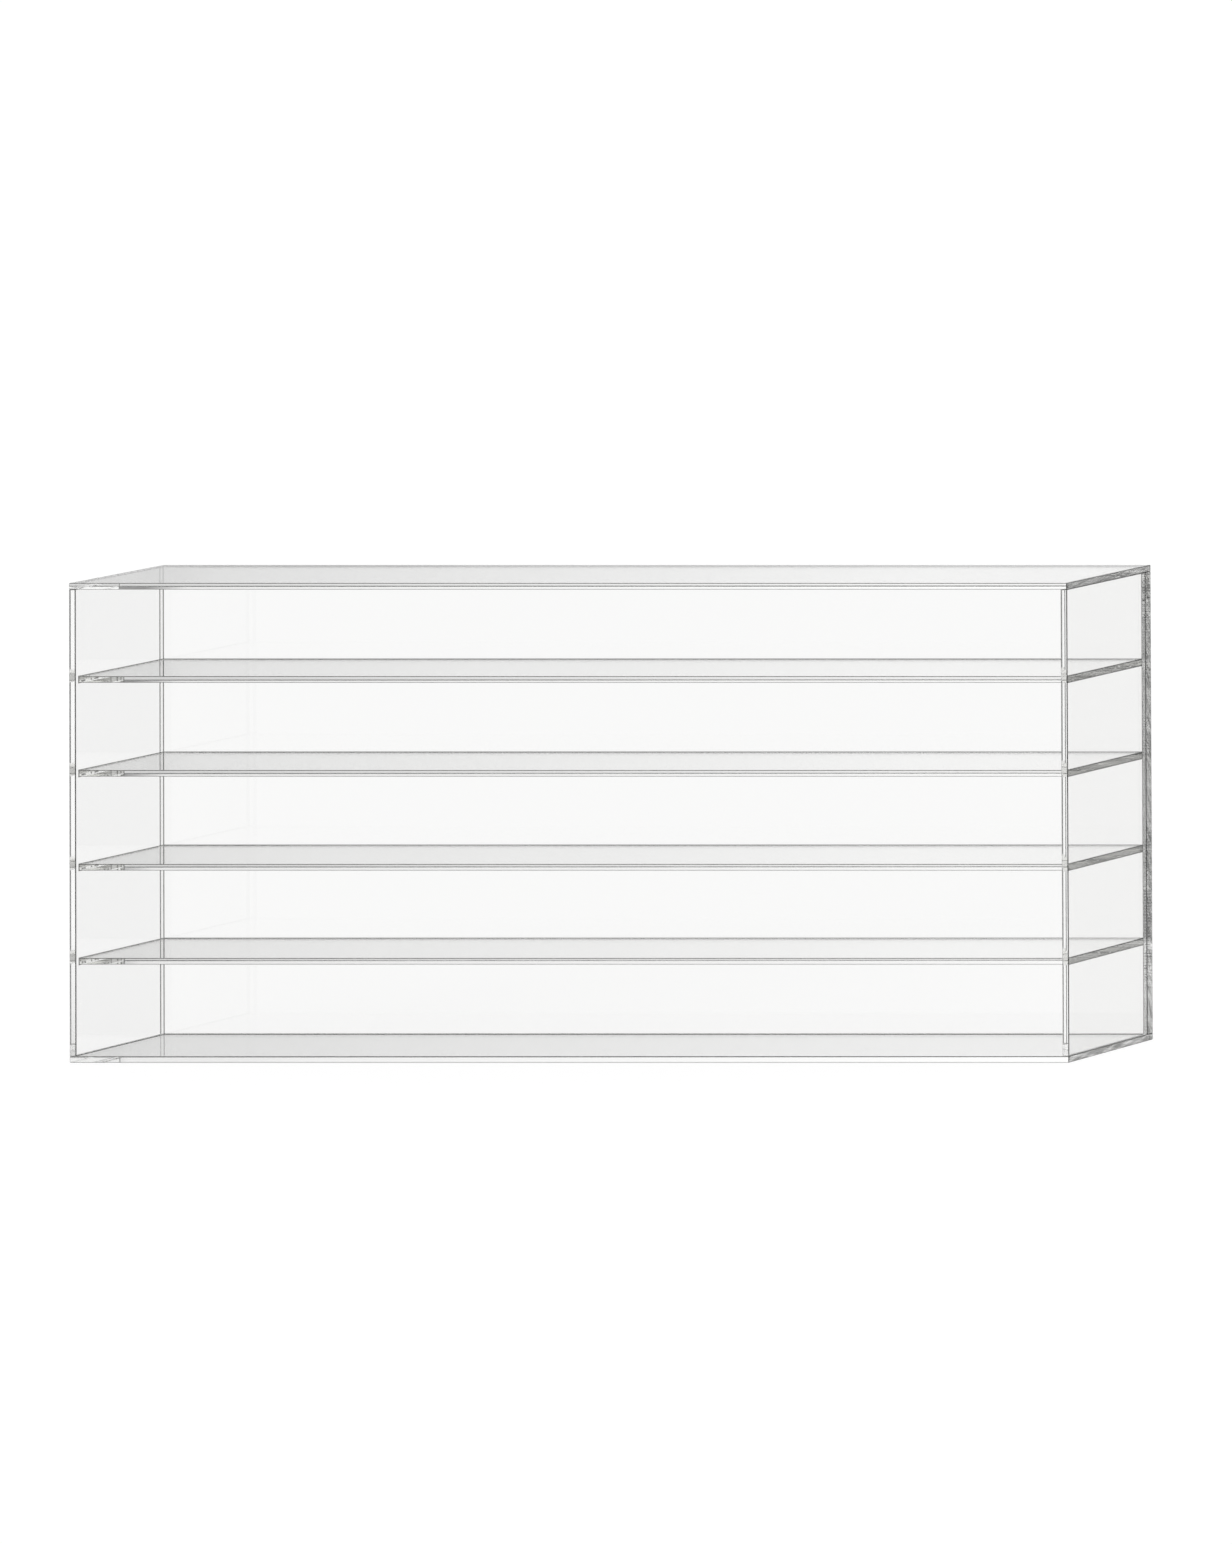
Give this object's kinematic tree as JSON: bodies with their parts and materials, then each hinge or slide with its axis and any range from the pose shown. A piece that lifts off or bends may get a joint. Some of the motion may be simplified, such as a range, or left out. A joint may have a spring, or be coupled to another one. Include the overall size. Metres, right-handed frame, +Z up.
{
  "type": "nail polish rack",
  "caption": "Clear acrylic open-front box rack with fixed shelves that form wide low tiers for nail polish bottles; free-standing or set against a wall.",
  "frame": {"origin": "middle of the base, on the surface the rack stands on", "axes": "+X to the viewer's right along the length, -Y out of the open front, +Z up"},
  "size_m": [0.92, 0.085, 0.439],
  "materials": {
    "clear_acrylic": "clear cast PMMA, polished faces and flame-polished edges"
  },
  "bodies": {
    "root": {"top_panel": "clear_acrylic", "bottom_panel": "clear_acrylic", "back_panel": "clear_acrylic", "left_side_panel": "clear_acrylic", "right_side_panel": "clear_acrylic", "shelf_1": "clear_acrylic", "shelf_2": "clear_acrylic", "shelf_3": "clear_acrylic", "shelf_4": "clear_acrylic"}
  },
  "joints": []
}
